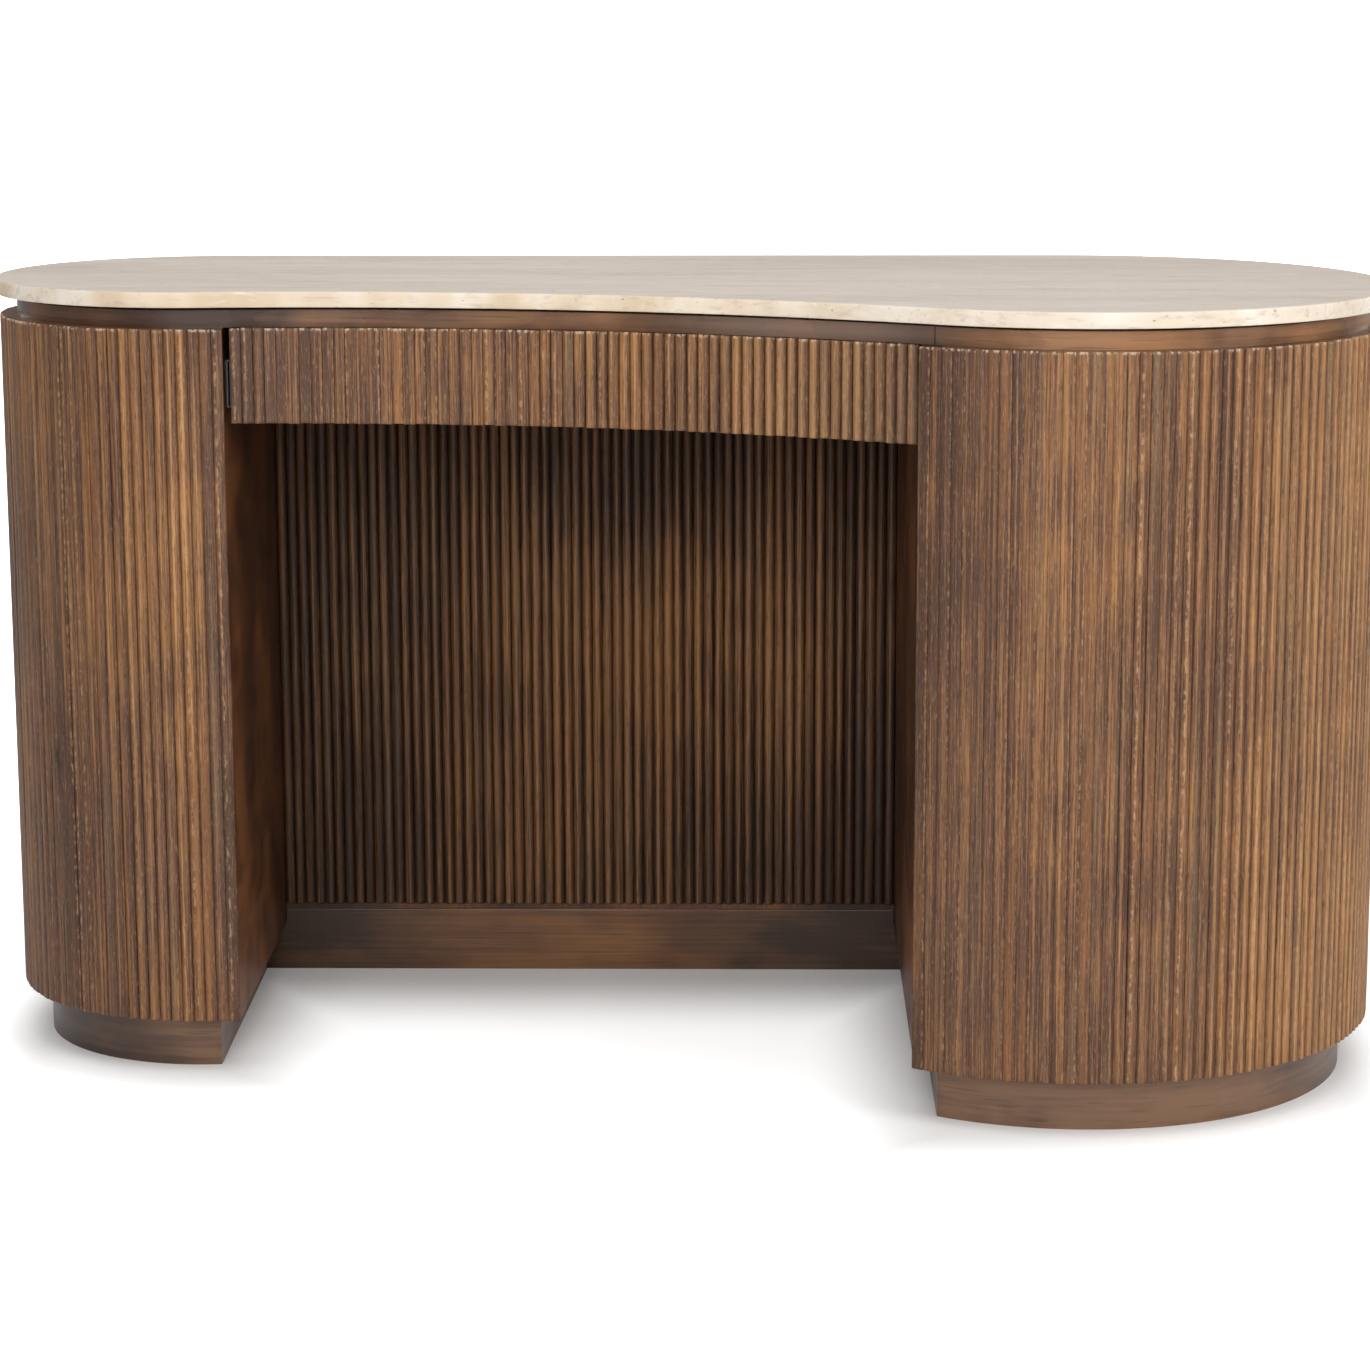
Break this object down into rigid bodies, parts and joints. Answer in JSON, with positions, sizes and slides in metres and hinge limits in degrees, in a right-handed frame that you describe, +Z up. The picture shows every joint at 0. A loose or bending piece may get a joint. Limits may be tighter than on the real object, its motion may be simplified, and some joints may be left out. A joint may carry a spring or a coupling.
{
  "type": "kidney writing desk",
  "caption": "Kidney-plan writing desk with a stone slab top, fixed tambour slats round two closed pedestals and the back, a kneehole and a hollow-fronted centre drawer on telescopic runners.",
  "frame": {"origin": "on the floor, under the middle of the slab's length and depth", "axes": "+Z up, +X along the desk to the sitter's right, -Y towards the sitter"},
  "size_m": [1.354, 0.5959, 0.76],
  "materials": {
    "travertine": "honed stone, matt",
    "slat_wood": "waxed, satin, varied slat to slat",
    "frieze_wood": "satin",
    "panel_wood": "satin",
    "carcass_wood": "bare board",
    "runner_steel": "zinc plated"
  },
  "bodies": {
    "desk": {"stone_top": "travertine", "sub_top": "carcass_wood", "frieze_front": "frieze_wood", "frieze_right": "frieze_wood", "frieze_back": "frieze_wood", "frieze_left": "frieze_wood", "back_panel": "carcass_wood", "back_slats": "slat_wood", "kneehole_slats": "slat_wood", "kneehole_rail": "frieze_wood", "left_inner_panel": "panel_wood", "left_shell": "carcass_wood", "left_top_board": "carcass_wood", "left_former": "carcass_wood", "left_bottom_board": "carcass_wood", "left_plinth_band": "frieze_wood", "left_plinth_side": "frieze_wood", "left_slats": "slat_wood", "left_runner_outer": "runner_steel", "right_inner_panel": "panel_wood", "right_shell": "carcass_wood", "right_top_board": "carcass_wood", "right_former": "carcass_wood", "right_bottom_board": "carcass_wood", "right_plinth_band": "frieze_wood", "right_plinth_side": "frieze_wood", "right_slats": "slat_wood", "right_runner_outer": "runner_steel"},
    "drawer": {"drawer_front": "carcass_wood", "drawer_slats": "slat_wood", "drawer_left_side": "carcass_wood", "drawer_right_side": "carcass_wood", "drawer_back": "carcass_wood", "drawer_bottom": "carcass_wood", "left_runner_inner": "runner_steel", "right_runner_inner": "runner_steel"},
    "left_runner_slide": {"left_runner_middle": "runner_steel"},
    "right_runner_slide": {"right_runner_middle": "runner_steel"}
  },
  "joints": [
    {"name": "drawer_slide", "type": "slide", "parent": "desk", "child": "drawer", "axis": [0, -1, 0], "range_m": [0, 0.3]},
    {"name": "left_runner_travel", "type": "slide", "parent": "desk", "child": "left_runner_slide", "axis": [0, -1, 0], "range_m": [0, 0.15]},
    {"name": "right_runner_travel", "type": "slide", "parent": "desk", "child": "right_runner_slide", "axis": [0, -1, 0], "range_m": [0, 0.15]}
  ],
  "couplings": [
    {"joint": "left_runner_travel", "follows": "drawer_slide", "ratio": 0.5},
    {"joint": "right_runner_travel", "follows": "drawer_slide", "ratio": 0.5}
  ]
}
